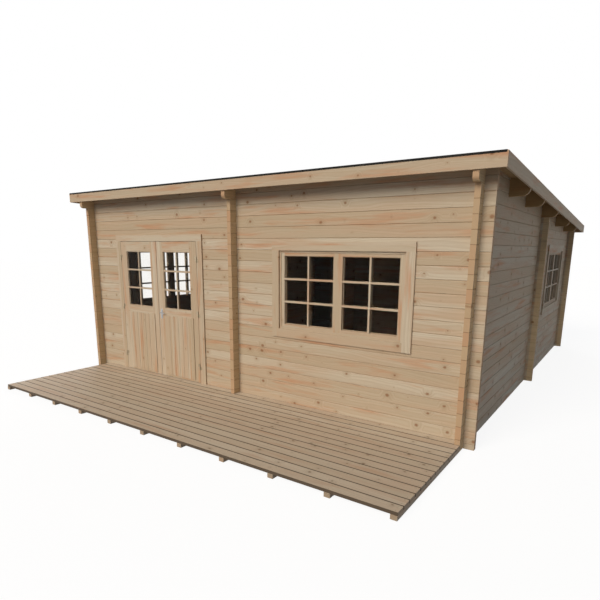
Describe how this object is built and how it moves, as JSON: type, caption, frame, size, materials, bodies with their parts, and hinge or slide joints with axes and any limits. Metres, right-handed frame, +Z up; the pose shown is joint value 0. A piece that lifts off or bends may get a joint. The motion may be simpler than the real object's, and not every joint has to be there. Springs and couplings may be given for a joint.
{
  "type": "log cabin house with terrace",
  "caption": "Single-slope log cabin with lapped corners, a glazed double door that opens outwards, double windows, felted roof on purlins and a boarded front terrace.",
  "frame": {"origin": "on the ground under the middle of the whole building, terrace and roof included", "axes": "+Z up, +Y from the terrace to the back wall, +X to the right seen from the terrace"},
  "size_m": [6.47, 8.603, 2.7822],
  "materials": {
    "log_spruce": "planed, untreated",
    "roof_spruce": "planed, untreated",
    "floor_spruce": "planed, untreated",
    "terrace_spruce": "planed, weathered a little",
    "joinery_spruce": "planed, untreated",
    "window_glass": "clear float glass",
    "hardware_steel": "satin",
    "roof_felt": "bitumen felt, mineral grit"
  },
  "bodies": {
    "house": {"front_sill_log": "log_spruce", "front_wall_left": "log_spruce", "front_wall_middle": "log_spruce", "front_wall_right": "log_spruce", "front_wall_below_window": "log_spruce", "front_window_header_log": "log_spruce", "front_wall_upper": "log_spruce", "left_wall_front": "log_spruce", "left_wall_rear": "log_spruce", "left_wall_below_window": "log_spruce", "left_wall_above_window": "log_spruce", "right_wall_front": "log_spruce", "right_wall_rear": "log_spruce", "right_wall_below_window": "log_spruce", "right_wall_above_window": "log_spruce", "back_wall": "log_spruce", "partition_front": "log_spruce", "partition_rear": "log_spruce", "partition_over_doorway": "log_spruce", "cross_wall_left": "log_spruce", "cross_wall_right": "log_spruce", "cross_wall_over_doorway": "log_spruce", "roof_boards": "roof_spruce", "roof_purlins": "roof_spruce", "front_fascia": "roof_spruce", "back_fascia": "roof_spruce", "left_fascia": "roof_spruce", "right_fascia": "roof_spruce", "roof_felt": "roof_felt", "floor_boards": "floor_spruce", "floor_joists": "floor_spruce", "terrace_boards": "terrace_spruce", "terrace_joists": "terrace_spruce", "door_jamb_left": "joinery_spruce", "door_jamb_right": "joinery_spruce", "door_head": "joinery_spruce", "door_threshold": "joinery_spruce", "front_window_frame": "joinery_spruce", "front_window_sashes": "joinery_spruce", "left_window_frame": "joinery_spruce", "left_window_sashes": "joinery_spruce", "right_window_frame": "joinery_spruce", "right_window_sashes": "joinery_spruce", "front_window_glass": "window_glass", "left_window_glass": "window_glass", "right_window_glass": "window_glass", "left_frame_hinges": "hardware_steel", "right_frame_hinges": "hardware_steel"},
    "left_door": {"left_door_leaf": "joinery_spruce", "left_door_glass": "window_glass", "left_door_hinges": "hardware_steel"},
    "right_door": {"right_door_leaf": "joinery_spruce", "right_door_glass": "window_glass", "right_door_hinges": "hardware_steel", "door_handle": "hardware_steel"}
  },
  "joints": [
    {"name": "left_door_hinge", "type": "hinge", "parent": "house", "child": "left_door", "pos_m": [-2.3195, -2.6865, 1], "axis": [0, 0, -1], "range_deg": [0, 110]},
    {"name": "right_door_hinge", "type": "hinge", "parent": "house", "child": "right_door", "pos_m": [-0.6865, -2.6865, 1], "axis": [0, 0, 1], "range_deg": [0, 110]}
  ]
}
